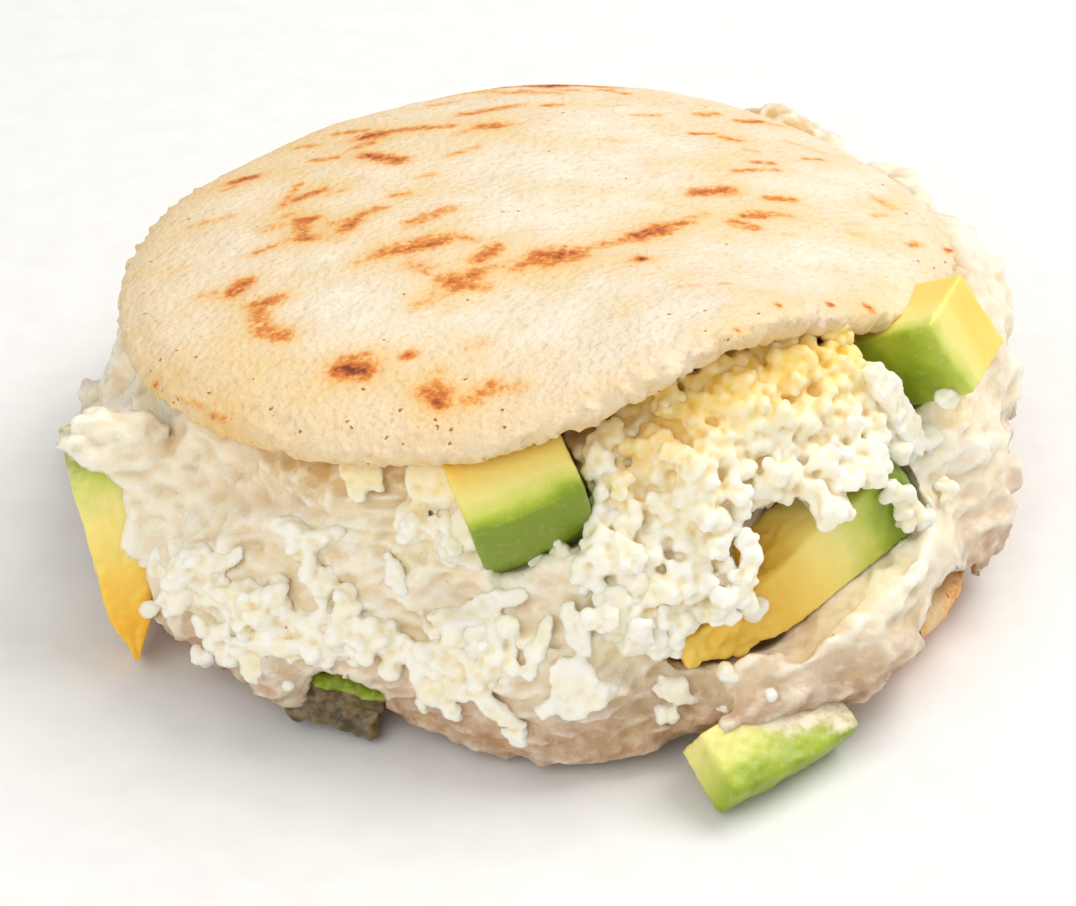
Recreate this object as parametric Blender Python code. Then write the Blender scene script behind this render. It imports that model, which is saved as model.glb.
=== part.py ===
"""Reina pepiada arepa: a split white corn griddle cake, stuffed past its rim with chicken and avocado salad.

The lower half lies flat and the upper half rides on the filling like a mouth that opens to the front.
X runs to the right, Y away from the front, Z up. The origin is the middle of the lower half's underside.
Everything is in metres.
"""

import math
import random

import bmesh
import bpy
from mathutils import Matrix, Vector, noise
from mathutils.bvhtree import BVHTree

MM = 0.001
GAP = 0.5 * MM            # air between the salad's core and the breads
CLEARANCE = 0.35 * MM     # air left by a pocket or by a piece that is cut to fit
SEED = 7

# The lower half
BASE_RADIUS = 57.5 * MM
BASE_TOP = 9.0 * MM
BASE_FLAT = 0.84          # share of the radius that touches the table
BASE_STEPS = 52

# The upper half
LID_RADIUS = 54.0 * MM
LID_RIM = 4.2 * MM
LID_MIDDLE = 12.0 * MM
LID_HEIGHT = 32.0 * MM    # its underside above the table, at the middle
LID_RISE_TO_FRONT = 0.150
LID_RISE_TO_RIGHT = 0.062
LID_BACK_LIFT = 4.0 * MM  # the rim bends up a little at the back too
LID_DROOP = 1.6 * MM      # and hangs at the front left
LID_CURL = 10.0 * MM      # how far the stuffing lifts the rim at the front right
LID_CURL_AT = -62.0       # degrees from +X, so to the front and right
LID_CURL_WIDTH = 17.0
LID_STEPS = 60

# The salad
SALAD_REACH = 63.5 * MM   # the widest radius, on average
SALAD_BELLY = 8.0 * MM    # height of the widest ring
SALAD_SHOULDER = 0.90     # share of the lid's radius where the filling starts to fall away
SALAD_STEPS = 80
WALL_RINGS = 9
STRANDS = 40
STRAND_LENGTH = (9.0 * MM, 19.0 * MM)
STRAND_WIDTH = (2.2 * MM, 3.6 * MM)
SCATTERED_CRUMBS = 40

# The grated cheese
CHEESE_ANGLE = -56.0      # where its middle lies, in degrees from +X
CHEESE_HALF_WIDTH = 28.0  # degrees
CHEESE_HEIGHT = 34.0 * MM
CHEESE_HALF_HEIGHT = 13.5 * MM
CHEESE_CLIMB = 0.32 * MM  # its middle line climbs to the right by this much a degree
CHEESE_DEPTH = 4.0 * MM
CHEESE_CRUMBS = 72
CRUMB_RADIUS = (1.2 * MM, 2.3 * MM)

MASA = ((0.93, 0.84, 0.64, 1.0), 0.62)
CREAM = ((0.90, 0.86, 0.76, 1.0), 0.45)
WHITE_CHEESE = ((0.94, 0.92, 0.86, 1.0), 0.55)
AVOCADO = ((0.80, 0.78, 0.28, 1.0), 0.38)


# Helpers

def clear_scene():
    """The startup scene's objects go, so that only the arepa is left."""
    for obj in list(bpy.data.objects):
        bpy.data.objects.remove(obj)


def material(name, look):
    """A Principled BSDF with one colour and roughness."""
    colour, roughness = look
    made = bpy.data.materials.new(name)
    made.use_nodes = True
    shader = made.node_tree.nodes["Principled BSDF"]
    shader.inputs["Base Color"].default_value = colour
    shader.inputs["Roughness"].default_value = roughness
    shader.inputs["Metallic"].default_value = 0.0
    return made


def add_object(name, bm, look=None):
    """The bmesh as a smooth-shaded object in the scene."""
    bmesh.ops.recalc_face_normals(bm, faces=bm.faces)
    mesh = bpy.data.meshes.new(name)
    bm.to_mesh(mesh)
    bm.free()
    mesh.shade_smooth()
    mesh.set_sharp_from_angle(angle=math.radians(40))
    obj = bpy.data.objects.new(name, mesh)
    bpy.context.scene.collection.objects.link(obj)
    if look:
        mesh.materials.append(look)
    return obj


def lobe(angle, centre, width):
    """A smooth bump round the rim: 1 at centre, nearly 0 from three widths away, both in degrees."""
    away = (math.degrees(angle) - centre + 180.0) % 360.0 - 180.0
    return math.exp(-0.5 * (away / width) ** 2)


def wobble(angle, size, *waves):
    """Uneven outline: each wave is (number round the rim, phase in degrees, share of size)."""
    return size * sum(share * math.cos(count * angle + math.radians(phase)) for count, phase, share in waves)


def turned(profile, steps):
    """A closed body with its own profile at each angle: a spool is spun, and each ring moves to its place.

    profile(angle) lists (radius, height) points from the bottom middle to the top middle.
    """
    count = len(profile(0.0))
    bm = bmesh.new()
    line = [bm.verts.new((0.0 if k in (0, count - 1) else 1.0, 0.0, k)) for k in range(count)]
    edges = [bm.edges.new(pair) for pair in zip(line, line[1:])]
    bmesh.ops.spin(bm, geom=line + edges, axis=(0, 0, 1), angle=math.tau, steps=steps, use_merge=True)
    bmesh.ops.remove_doubles(bm, verts=bm.verts, dist=1e-4)
    for vert in bm.verts:
        angle = math.atan2(vert.co.y, vert.co.x)
        radius, height = profile(angle)[round(vert.co.z)]
        vert.co = (radius * math.cos(angle), radius * math.sin(angle), height)
    bmesh.ops.triangulate(bm, faces=bm.faces)
    bmesh.ops.recalc_face_normals(bm, faces=bm.faces)
    return bm


def push_out(bm, rule):
    """Moves each vertex along its normal by rule(position)."""
    bm.normal_update()
    moves = [(vert, vert.normal * rule(vert.co)) for vert in bm.verts]
    for vert, move in moves:
        vert.co += move


def standing(position, forward, up):
    """The matrix that puts an object's +Y along forward and its +Z nearly along up."""
    y_axis = Vector(forward).normalized()
    x_axis = y_axis.cross(Vector(up)).normalized()
    z_axis = x_axis.cross(y_axis)
    turn = Matrix((x_axis, y_axis, z_axis)).transposed().to_4x4()
    return Matrix.Translation(position) @ turn


# The two breads

def base_radius(angle):
    """Outline of the lower half, which reaches out under the filling at two places."""
    uneven = wobble(angle, 0.6 * MM, (2, 40, 1.0), (5, 10, 0.5))
    return BASE_RADIUS + uneven + 7.0 * MM * lobe(angle, -39, 12) - 4.2 * MM * lobe(angle, -114, 9)


def base_profile(angle):
    """Flat underside, a round toasted side, and a flat cut face on top."""
    radius = base_radius(angle)
    flat = BASE_FLAT * radius
    points = [(0.0, 0.0), (0.5 * flat, 0.0), (flat, 0.0)]
    corner = radius - flat
    for k in range(1, 5):
        turn = math.radians(90.0 * k / 4)
        points.append((flat + corner * math.sin(turn), 0.72 * BASE_TOP * (1.0 - math.cos(turn))))
    points += [(reach, BASE_TOP) for reach in (radius - 0.6 * MM, 0.8 * radius, 0.4 * radius, 0.0)]
    return points


def lid_radius(angle):
    """Outline of the upper half: a hand-shaped circle, drawn in where the rim curls up."""
    uneven = wobble(angle, 0.5 * MM, (3, 100, 0.6), (7, 0, 0.5))
    front_left = 2.0 * MM * lobe(angle, -126, 22)
    back_right = 2.2 * MM * lobe(angle, 38, 24)
    back_left = 1.2 * MM * lobe(angle, 158, 14) - 1.2 * MM * lobe(angle, 125, 14)
    return LID_RADIUS + uneven + front_left - back_right + back_left - 6.2 * MM * lobe(angle, -46, 16)


def lid_plane(x, y):
    """Height of the upper half's inner face over a point, before the cheese lifts its rim."""
    angle = math.atan2(y, x)
    share = min(math.hypot(x, y) / lid_radius(angle), 1.0)
    bend = LID_BACK_LIFT * lobe(angle, 95, 36) - LID_DROOP * lobe(angle, -126, 24)
    return LID_HEIGHT + LID_RISE_TO_RIGHT * x - LID_RISE_TO_FRONT * y + bend * share ** 2


def lid_underside(x, y):
    """Height of the inner face over a point, with the curl at the front right."""
    angle = math.atan2(y, x)
    share = min(math.hypot(x, y) / lid_radius(angle), 1.0)
    towards_rim = max(0.0, (share - 0.3) / 0.7) ** 2
    return lid_plane(x, y) + LID_CURL * lobe(angle, LID_CURL_AT, LID_CURL_WIDTH) * towards_rim


def lid_thickness(share):
    """A low dome over the inner face, down to a thin rim."""
    return LID_RIM + (LID_MIDDLE - LID_RIM) * max(0.0, 1.0 - share * share) ** 0.8


def lid_profile(angle):
    """The inner face from the middle out, round the rim, and back over the crust."""
    radius = lid_radius(angle)

    def at(share, lift):
        reach = share * radius
        return reach, lid_underside(reach * math.cos(angle), reach * math.sin(angle)) + lift

    points = [at(share, 0.0) for share in (0.0, 0.35, 0.62, 0.82, 0.94)]
    for turn in (-55, -15, 25, 60):
        reach = 1.0 - 0.035 * (1.0 - math.cos(math.radians(turn)))
        points.append(at(reach, LID_RIM * (0.5 + 0.5 * math.sin(math.radians(turn)))))
    points += [at(share, lid_thickness(share)) for share in (0.95, 0.88, 0.76, 0.58, 0.36, 0.0)]
    return points


def crust_relief(point):
    """The hand-patted crust is never quite flat."""
    broad = noise.noise(point / (19 * MM)) * 0.8 * MM
    return broad * min(1.0, max(0.0, point.z - lid_underside(point.x, point.y)) / (6 * MM))


def make_base(look):
    return add_object("arepa_base", turned(base_profile, BASE_STEPS), look)


def make_lid(look):
    bm = turned(lid_profile, LID_STEPS)
    push_out(bm, crust_relief)
    return add_object("arepa_lid", bm, look)


# The salad

def salad_belly(angle):
    """(radius, height) of the widest ring: high at the back right, and wide at the front right."""
    uneven = wobble(angle, 0.9 * MM, (3, 60, 0.8), (4, 200, 0.8), (7, 90, 0.5))
    wide = 4.0 * MM * lobe(angle, -48, 17) + 2.0 * MM * lobe(angle, -88, 9) + 2.5 * MM * lobe(angle, 15, 10)
    dents = ((-134, 7, 1.5), (-107, 7, 3.0), (-74, 5, 2.5), (-50, 5, -1.0), (-35, 6, 2.6), (-14, 8, 2.0),
             (34, 9, 2.2), (110, 36, 2.5))
    narrow = sum(depth * MM * lobe(angle, centre, width) for centre, width, depth in dents)
    return SALAD_REACH + uneven + wide - narrow, SALAD_BELLY + 14 * MM * lobe(angle, 27, 26)


def salad_foot(angle):
    """How near the overflow hangs to the table: high where the lower half shows beneath it."""
    shows = 5.0 * MM * lobe(angle, -38, 13) + 4.0 * MM * lobe(angle, -117, 9)
    shows += 3.0 * MM * lobe(angle, -141, 6)
    behind = 3.0 * MM * lobe(angle, 100, 60) - 1.0 * MM * lobe(angle, -93, 4)
    return 2.0 * MM + shows + behind + wobble(angle, 0.7 * MM, (9, 30, 0.6), (13, 80, 0.5))


def salad_profile(angle):
    """Over the lower half, down to the foot, out round the belly and in under the lid."""
    inner = base_radius(angle) + GAP
    floor = BASE_TOP + GAP
    foot = salad_foot(angle)
    belly, belly_height = salad_belly(angle)
    shoulder = SALAD_SHOULDER * lid_radius(angle)
    slope = 0.95 + 0.55 * lobe(angle, -85, 38) + 1.0 * lobe(angle, 180, 30)
    ridge = 7.0 * MM * lobe(angle, 52, 9)

    def under_lid(reach):
        return reach, lid_plane(reach * math.cos(angle), reach * math.sin(angle)) - GAP

    drip = 0.5 * (inner + belly)
    points = [(0.0, floor), (0.5 * inner, floor), (inner, floor), (inner + 0.3 * MM, foot + 0.6 * MM)]
    for turn in (0.0, math.radians(40), math.radians(65)):
        lift = (belly_height - foot) * (1.0 - math.cos(turn))
        points.append((drip + (belly - drip) * math.sin(turn), foot + lift))
    top = under_lid(shoulder)[1]
    for k in range(WALL_RINGS + 1):
        turn = math.radians(90.0 * k / WALL_RINGS)
        out = math.cos(turn) ** slope if k < WALL_RINGS else 0.0
        up = math.sin(turn) ** slope
        lift = ridge * math.sin(2.0 * turn)
        points.append((shoulder + (belly - shoulder) * out, belly_height + (top - belly_height) * up + lift))
    points += [under_lid(share * shoulder) for share in (0.66, 0.33, 0.0)]
    return points


def outside(point):
    """1 on the open wall of the salad, 0 where it faces a bread."""
    reach = math.hypot(point.x, point.y)
    angle = math.atan2(point.y, point.x)
    past_base = (reach - base_radius(angle) - 1.2 * MM) / (2.0 * MM)
    below_lid = (lid_underside(point.x, point.y) - point.z - 1.2 * MM) / (3.0 * MM)
    clear = past_base if point.z < BASE_TOP + 2 * MM else (below_lid if reach < LID_RADIUS else 1.0)
    return min(1.0, max(0.0, clear))


def salad_relief(point):
    """Lumps of mayonnaise and meat on the open wall."""
    lumps = noise.noise(point / (9 * MM)) * 3.0 * MM + noise.noise(point / (4.5 * MM)) * 1.6 * MM
    return lumps * outside(point)


def salad_core(extra=0.0):
    """The bare heap, or the same heap grown by extra for cutting what lies on it."""
    bm = turned(salad_profile, SALAD_STEPS)
    push_out(bm, salad_relief)
    if extra:
        push_out(bm, lambda point: extra)
    return bm


def on_wall(tree, angle, height):
    """The point of the salad's wall seen from outside at this angle and height, with its normal."""
    side = Vector((math.cos(angle), math.sin(angle), 0.0))
    start = side * 0.12 + Vector((0.0, 0.0, height + 0.032))
    place, normal, _, _ = tree.ray_cast(start, (-side * 0.06 + Vector((0.0, 0.0, -0.03))).normalized())
    return place, normal


def strand(length, width, bend):
    """A torn strand of chicken breast along X: five sides, thick in the middle, bent, its ends dipping."""
    sections = 5
    drop = length * length / (8 * 42 * MM) + 0.5 * MM
    bm = bmesh.new()
    ring = bmesh.ops.create_circle(bm, cap_ends=True, radius=1.0, segments=5)["verts"]
    turn = Matrix.Rotation(math.radians(90), 3, "Y")
    bmesh.ops.transform(bm, matrix=turn.to_4x4(), verts=bm.verts)
    face = bm.faces[:][0]
    rings = [ring]
    for _ in range(sections - 1):
        fresh = bmesh.ops.extrude_face_region(bm, geom=[face])["geom"]
        if len(rings) > 1:
            bmesh.ops.delete(bm, geom=[face], context="FACES_ONLY")
        face = next(item for item in fresh if isinstance(item, bmesh.types.BMFace))
        rings.append([item for item in fresh if isinstance(item, bmesh.types.BMVert)])
    for k, verts in enumerate(rings):
        along = k / (sections - 1) - 0.5
        thick = 0.5 * width * (1.0 - 2.4 * along * along)
        for vert in verts:
            sink = 4.0 * along * along * drop
            aside = bend * along * along * length
            vert.co = (along * length, vert.co.y * thick + aside, 0.9 * vert.co.z * thick - sink)
    bmesh.ops.recalc_face_normals(bm, faces=bm.faces)
    return bm


def crumb(radius, draw):
    """A crumb of grated cheese: a twenty-sided lump with uneven corners."""
    bm = bmesh.new()
    bmesh.ops.create_icosphere(bm, subdivisions=1, radius=radius)
    for vert in bm.verts:
        vert.co *= draw.uniform(0.88, 1.12)
    return bm


def fuse(body, pieces, name):
    """Joins loose pieces to the body in one union, and removes them."""
    loose = bpy.data.collections.new(name)
    bpy.context.scene.collection.children.link(loose)
    for piece in pieces:
        bpy.context.scene.collection.objects.unlink(piece)
        loose.objects.link(piece)
    join = body.modifiers.new("fuse", "BOOLEAN")
    join.operation = "UNION"
    join.operand_type = "COLLECTION"
    join.collection = loose
    join.solver = "MANIFOLD"
    apply_modifiers(body)
    for piece in pieces:
        bpy.data.objects.remove(piece)
    bpy.data.collections.remove(loose)


def apply_modifiers(obj):
    """Makes the evaluated mesh the object's own."""
    graph = bpy.context.evaluated_depsgraph_get()
    mesh = bpy.data.meshes.new_from_object(obj.evaluated_get(graph))
    obj.modifiers.clear()
    old = obj.data
    obj.data = mesh
    bpy.data.meshes.remove(old)


def cut(obj, cutters):
    """Takes the cutters' shapes out of the object, with the cutters kept as hidden guides."""
    for cutter in cutters:
        cutter.hide_render = True
        cutter.display_type = "WIRE"
        away = obj.modifiers.new("clear_of_" + cutter.name, "BOOLEAN")
        away.operation = "DIFFERENCE"
        away.object = cutter
        away.solver = "MANIFOLD"
    apply_modifiers(obj)


def cheese_share(point):
    """1 in the middle of the cheese, 0 at its edge, less than 0 outside."""
    angle = math.degrees(math.atan2(point.y, point.x))
    across = (angle - CHEESE_ANGLE) / CHEESE_HALF_WIDTH
    up = (point.z - CHEESE_HEIGHT - CHEESE_CLIMB * (angle - CHEESE_ANGLE)) / CHEESE_HALF_HEIGHT
    return 1.0 - (abs(across) ** 3 + abs(up) ** 3) ** (1 / 3)


def near_cheese(point, margin):
    """True where the cheese lies, widened by margin."""
    return cheese_share(point) > -margin / (24 * MM)


def near_avocado(point, margin):
    """True within margin of an avocado piece's own box."""
    for piece in AVOCADO_PIECES.values():
        local = standing(piece["at"], piece["skin"], piece["top"]).inverted() @ point
        if all(abs(part) < 0.5 * side + margin for part, side in zip(local, piece["size"])):
            return True
    return False


def under_rim(point, margin):
    """True where something lying here would reach the lid."""
    angle = math.atan2(point.y, point.x)
    return math.hypot(point.x, point.y) < lid_radius(angle) + margin and (
        point.z > lid_underside(point.x, point.y) - margin
    )


def make_strands(tree, draw):
    """Strands of chicken laid on the wall, largest first, spread evenly round it."""
    made = []
    for k in range(STRANDS):
        angle = math.tau * (k * 0.618034 % 1.0)
        share = 1.0 - k / STRANDS
        length = STRAND_LENGTH[0] + (STRAND_LENGTH[1] - STRAND_LENGTH[0]) * share
        place, normal = on_wall(tree, angle, draw.uniform(7 * MM, 27 * MM))
        lean, bend = draw.uniform(-50, 50), draw.uniform(-0.5, 0.5)
        width = draw.uniform(*STRAND_WIDTH)
        if place is None or near_cheese(place, 0.6 * length):
            continue
        if near_avocado(place, 0.45 * length) or under_rim(place, 0.3 * length) or place.z < 4 * MM:
            continue
        made.append(lay("strand", strand(length, width, bend), place, normal, lean))
    return made


def lay(name, bm, place, normal, lean):
    """Puts a piece flat on a surface, its length leaning by so many degrees from level."""
    level = Vector((-normal.y, normal.x, 0.0)).normalized()
    along = Matrix.Rotation(math.radians(lean), 3, normal) @ level
    aside = normal.cross(along)
    turn = Matrix((along, aside, normal)).transposed().to_4x4()
    bmesh.ops.transform(bm, matrix=Matrix.Translation(place + 0.1 * MM * normal) @ turn, verts=bm.verts)
    return add_object(name, bm)


def make_scattered_crumbs(tree, draw):
    """Cheese that fell on the front of the salad, to the left of the heap."""
    made = []
    for k in range(SCATTERED_CRUMBS):
        angle = math.radians(-72 - 72 * (k * 0.618034 % 1.0))
        place, normal = on_wall(tree, angle, draw.uniform(7 * MM, 25 * MM))
        radius = draw.uniform(*CRUMB_RADIUS)
        if place is None or near_avocado(place, radius + MM) or near_cheese(place, radius + 1.2 * MM):
            continue
        if under_rim(place, radius + MM):
            continue
        made.append(lay("crumb", crumb(radius, draw), place, normal, draw.uniform(0, 90)))
    return made


def make_salad(look, cutters):
    draw = random.Random(SEED)
    core = salad_core()
    tree = BVHTree.FromBMesh(core)
    salad = add_object("chicken_salad", core, look)
    fuse(salad, make_strands(tree, draw) + make_scattered_crumbs(tree, draw), "toppings")
    cut(salad, cutters)
    keep_largest(salad)
    return salad


# The grated cheese

def cheese_depth(point):
    """How thick the cheese lies on the salad: thin at its uneven edge, thick under the curled rim."""
    share = cheese_share(point) + 0.12 * noise.noise(point / (6 * MM))
    if share <= 0.0:
        return max(12 * share, -1.0) * MM
    in_mouth = min(1.0, max(0.0, (point.z - 36 * MM) / (8 * MM)))
    swell = 1.0 + 0.5 * noise.noise(point / (5 * MM)) + 0.8 * in_mouth
    return CHEESE_DEPTH * swell * min(1.0, 2.2 * share)


def make_cheese(look, cutters):
    """A heap of crumbs that starts under the curled rim and runs down the front, over the salad."""
    draw = random.Random(SEED + 1)
    bm = salad_core()
    push_out(bm, cheese_depth)
    tree = BVHTree.FromBMesh(bm)
    heap = add_object("grated_cheese", bm, look)
    crumbs = []
    for k in range(CHEESE_CRUMBS):
        across = 2.0 * (k * 0.618034 % 1.0) - 1.0 + draw.uniform(-0.12, 0.12)
        up = 2.3 * (k + 0.5) / CHEESE_CRUMBS - 1.0 + draw.uniform(-0.12, 0.12)
        angle = math.radians(CHEESE_ANGLE + CHEESE_HALF_WIDTH * across)
        height = CHEESE_HEIGHT + CHEESE_CLIMB * CHEESE_HALF_WIDTH * across + CHEESE_HALF_HEIGHT * up
        place, normal = on_wall(tree, angle, height)
        radius = CRUMB_RADIUS[0] + (CRUMB_RADIUS[1] - CRUMB_RADIUS[0]) * (k * 0.381966 % 1.0)
        if place is not None and cheese_share(place) > 0.02:
            crumbs.append(lay("crumb", crumb(radius, draw), place, normal, draw.uniform(0, 90)))
    fuse(heap, crumbs, "crumbs")
    cut(heap, cutters)
    keep_largest(heap)
    return heap


def keep_largest(obj):
    """Drops the loose scraps that a cut can leave."""
    bm = bmesh.new()
    bm.from_mesh(obj.data)
    left = set(bm.faces)
    islands = []
    while left:
        grown, edge = set(), [left.pop()]
        while edge:
            face = edge.pop()
            grown.add(face)
            near = {other for side in face.edges for other in side.link_faces if other in left}
            left -= near
            edge += near
        islands.append(grown)
    islands.sort(key=len)
    scraps = [face for island in islands[:-1] for face in island]
    bmesh.ops.delete(bm, geom=scraps, context="FACES")
    bm.to_mesh(obj.data)
    bm.free()


# The avocado

# at: the middle, in metres. skin: the way the green skin side faces. top: the way the upper cut face looks.
# size: width, depth from the stone side to the skin, height.
# narrow: share of the width left at the stone side. pit: depth of the hollow where the stone lay.
# rise: how far the lower face climbs towards the stone side.
# clear: how far its seat in the salad is drawn out, so that nothing lies over the faces that show.
AVOCADO_PIECES = {
    "avocado_left": {
        "at": (-0.0522, -0.0354, 0.0146), "skin": (-0.127, 0.410, 0.903), "top": (0.157, -0.895, 0.415),
        "size": (0.0108, 0.0288, 0.0055), "narrow": 0.38,
        "pit": 0.0, "rise": 0.0, "clear": (0.0, 0.0, 0.0),
    },
    "avocado_centre": {
        "at": (-0.0030, -0.0490, 0.0345), "skin": (0.350, -0.850, -0.390), "top": (-0.160, -0.430, 0.890),
        "size": (0.0142, 0.0154, 0.0120), "narrow": 1.0,
        "pit": 0.0, "rise": 0.0, "clear": (0.0, -0.010, 0.007),
    },
    "avocado_back_right": {
        "at": (0.0476, -0.0242, 0.0377), "skin": (-0.474, -0.852, -0.224), "top": (-0.551, 0.089, 0.829),
        "size": (0.0142, 0.0100, 0.0111), "narrow": 1.0,
        "pit": 0.0, "rise": 0.0, "clear": (0.0, -0.010, 0.007),
    },
    "avocado_wedge": {
        "at": (0.0290, -0.0456, 0.0182), "skin": (0.753, 0.572, 0.325), "top": (-0.353, -0.066, 0.933),
        "size": (0.0095, 0.0345, 0.0100), "narrow": 0.9,
        "pit": 0.0035, "rise": 0.0060, "clear": (0.005, -0.009, 0.0025),
    },
    "avocado_front": {
        "at": (0.0278, -0.0617, 0.0054), "skin": (0.543, -0.648, -0.535), "top": (0.343, -0.410, 0.845),
        "size": (0.0204, 0.0085, 0.0058), "narrow": 0.95,
        "pit": 0.0, "rise": 0.0, "clear": (0.0, 0.0, 0.0),
    },
    "avocado_low_left": {
        "at": (-0.0250, -0.0527, 0.0044), "skin": (0.150, 0.200, 0.970), "top": (-0.150, -0.970, 0.200),
        "size": (0.0138, 0.0058, 0.0045), "narrow": 0.80,
        "pit": 0.0, "rise": 0.0, "clear": (0.0, 0.0, 0.0),
    },
}


def avocado_form(piece, grow=0.0):
    """A cut piece in its own frame, skin at +Y: flat cuts, a round skin side and the stone's hollow."""
    width, depth, height = (side + 2.0 * grow for side in piece["size"])
    bm = bmesh.new()
    bmesh.ops.create_cube(bm, size=1.0)
    bmesh.ops.subdivide_edges(bm, edges=bm.edges, cuts=4 if piece["pit"] else 2, use_grid_fill=True)
    for vert in bm.verts:
        x, y, z = vert.co
        slim = piece["narrow"] + (1.0 - piece["narrow"]) * (y + 0.5)
        belly = 0.10 * depth * (1.0 - 2.0 * x * x - 2.0 * z * z) * max(0.0, 2.0 * y) ** 2
        hollow = piece["pit"] * stone_hollow(x, y) * (z + 0.5)
        rise = piece["rise"] * max(0.0, -2.0 * y) ** 2 * (0.5 - z)
        vert.co = (x * width * slim, y * depth + belly, z * height - hollow + rise)
    return bm


def stone_hollow(x, y):
    """Depth share of the hollow where the stone lay, deepest behind the middle of the upper face."""
    return math.exp(-((x + 0.25) / 0.75) ** 2 - ((y + 0.22) / 0.2) ** 2)


def make_avocado(name, piece, look, lid_cutter):
    obj = add_object(name, avocado_form(piece), look)
    obj.matrix_world = standing(piece["at"], piece["skin"], piece["top"])
    cut(obj, [lid_cutter])
    keep_largest(obj)
    return obj


def clearing_for(name, piece):
    """Its seat in the salad, drawn out towards the front so that nothing lies over the faces that show."""
    seat = avocado_form(piece, CLEARANCE)
    bmesh.ops.transform(seat, matrix=standing(piece["at"], piece["skin"], piece["top"]), verts=seat.verts)
    bm = bmesh.new()
    for vert in seat.verts:
        bm.verts.new(vert.co)
        bm.verts.new(vert.co + Vector(piece["clear"]))
    seat.free()
    bmesh.ops.convex_hull(bm, input=bm.verts)
    inside = [vert for vert in bm.verts if not vert.link_faces]
    bmesh.ops.delete(bm, geom=inside, context="VERTS")
    return add_object("clearing_" + name, bm)


def grown(name, bm):
    """A body's form with CLEARANCE added all over, as a cutter."""
    push_out(bm, lambda point: CLEARANCE)
    return add_object(name, bm)


def grown_lid():
    bm = turned(lid_profile, LID_STEPS)
    push_out(bm, crust_relief)
    return grown("around_lid", bm)


def main():
    clear_scene()
    masa = material("masa", MASA)
    avocado = material("avocado", AVOCADO)
    make_base(masa)
    make_lid(masa)
    clearings = [clearing_for(name, piece) for name, piece in AVOCADO_PIECES.items()]
    lid_cutter = grown_lid()
    for name, piece in AVOCADO_PIECES.items():
        make_avocado(name, piece, avocado, lid_cutter)
    base_cutter = grown("around_base", turned(base_profile, BASE_STEPS))
    make_salad(material("salad", CREAM), [lid_cutter, base_cutter, *clearings])
    salad_cutter = add_object("around_salad", salad_core(CLEARANCE))
    make_cheese(material("cheese", WHITE_CHEESE), [salad_cutter, lid_cutter, *clearings])


main()
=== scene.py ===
# %% [markdown]
# # A reina pepiada arepa
# A white corn griddle cake is split and overfilled with chicken and avocado salad.
# Grated white cheese and chunks of avocado spill out at the front.
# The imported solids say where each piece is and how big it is, and this script dresses them.

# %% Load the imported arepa
import math
import random
from functools import partial

import bmesh
import bpy
from mathutils import Matrix, Vector, kdtree, noise
from mathutils.bvhtree import BVHTree


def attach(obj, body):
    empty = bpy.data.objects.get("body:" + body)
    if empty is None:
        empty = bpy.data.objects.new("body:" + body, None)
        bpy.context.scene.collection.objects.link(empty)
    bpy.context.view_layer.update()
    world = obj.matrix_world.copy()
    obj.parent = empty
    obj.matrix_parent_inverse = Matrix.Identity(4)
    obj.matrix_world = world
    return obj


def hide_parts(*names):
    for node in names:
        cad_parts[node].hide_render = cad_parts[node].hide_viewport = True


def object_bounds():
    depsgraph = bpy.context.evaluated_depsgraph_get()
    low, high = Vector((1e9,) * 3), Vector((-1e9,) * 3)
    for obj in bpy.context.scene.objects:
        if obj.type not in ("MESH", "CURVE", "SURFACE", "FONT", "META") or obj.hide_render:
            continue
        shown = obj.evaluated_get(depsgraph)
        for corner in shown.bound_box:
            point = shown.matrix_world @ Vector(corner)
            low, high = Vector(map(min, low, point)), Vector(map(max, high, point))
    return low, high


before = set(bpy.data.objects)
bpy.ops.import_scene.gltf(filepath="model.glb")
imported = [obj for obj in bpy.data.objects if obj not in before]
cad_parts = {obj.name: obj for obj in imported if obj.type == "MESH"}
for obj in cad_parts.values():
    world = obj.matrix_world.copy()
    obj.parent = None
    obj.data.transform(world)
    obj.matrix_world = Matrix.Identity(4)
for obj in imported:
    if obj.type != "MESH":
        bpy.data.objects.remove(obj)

MM = 0.001
scene = bpy.context.scene
cad_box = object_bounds()
print("nodes:", ", ".join(sorted(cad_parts)))
print("size in mm:", [round(side / MM, 1) for side in cad_box[1] - cad_box[0]])

# %% [markdown]
# ## The camera
# The picture looks down on the front of the arepa at about 35 degrees, through a long lens.
# The camera comes first, because marks such as a toasted spot are placed by casting a ray from it through a
# point of the picture.
# Each mark lies on the surface that the ray meets, so it is right from every side.

# %% Camera
PICTURE = (1076, 906)      # width and height, in whose units the marks below are given
LOOK_DOWN = math.radians(35)
DISTANCE = 0.43
TARGET = Vector((0.0, 0.0, 4.0 * MM))
BACK = Vector((0.0, -math.cos(LOOK_DOWN), math.sin(LOOK_DOWN)))     # from the arepa to the camera


def new_object(name, data):
    item = bpy.data.objects.new(name, data)
    scene.collection.objects.link(item)
    return item


camera_data = bpy.data.cameras.new("camera")
camera_data.lens = 105.7
camera_data.sensor_width = 36.0
camera_data.sensor_fit = "HORIZONTAL"
camera = new_object("camera", camera_data)
camera.location = TARGET + DISTANCE * BACK
camera.rotation_euler = BACK.to_track_quat("Z", "Y").to_euler()
scene.camera = camera


def sight(px, py):
    """Where the line of sight through a point of the picture starts, and its direction."""
    right = Vector((1.0, 0.0, 0.0))
    up = BACK.cross(right)
    unit = camera_data.sensor_width / camera_data.lens / PICTURE[0]
    ahead = right * (px - PICTURE[0] / 2) * unit + up * (PICTURE[1] / 2 - py) * unit - BACK
    return camera.location.copy(), ahead.normalized()


print("camera at", [round(part, 3) for part in camera.location], "m")

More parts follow.
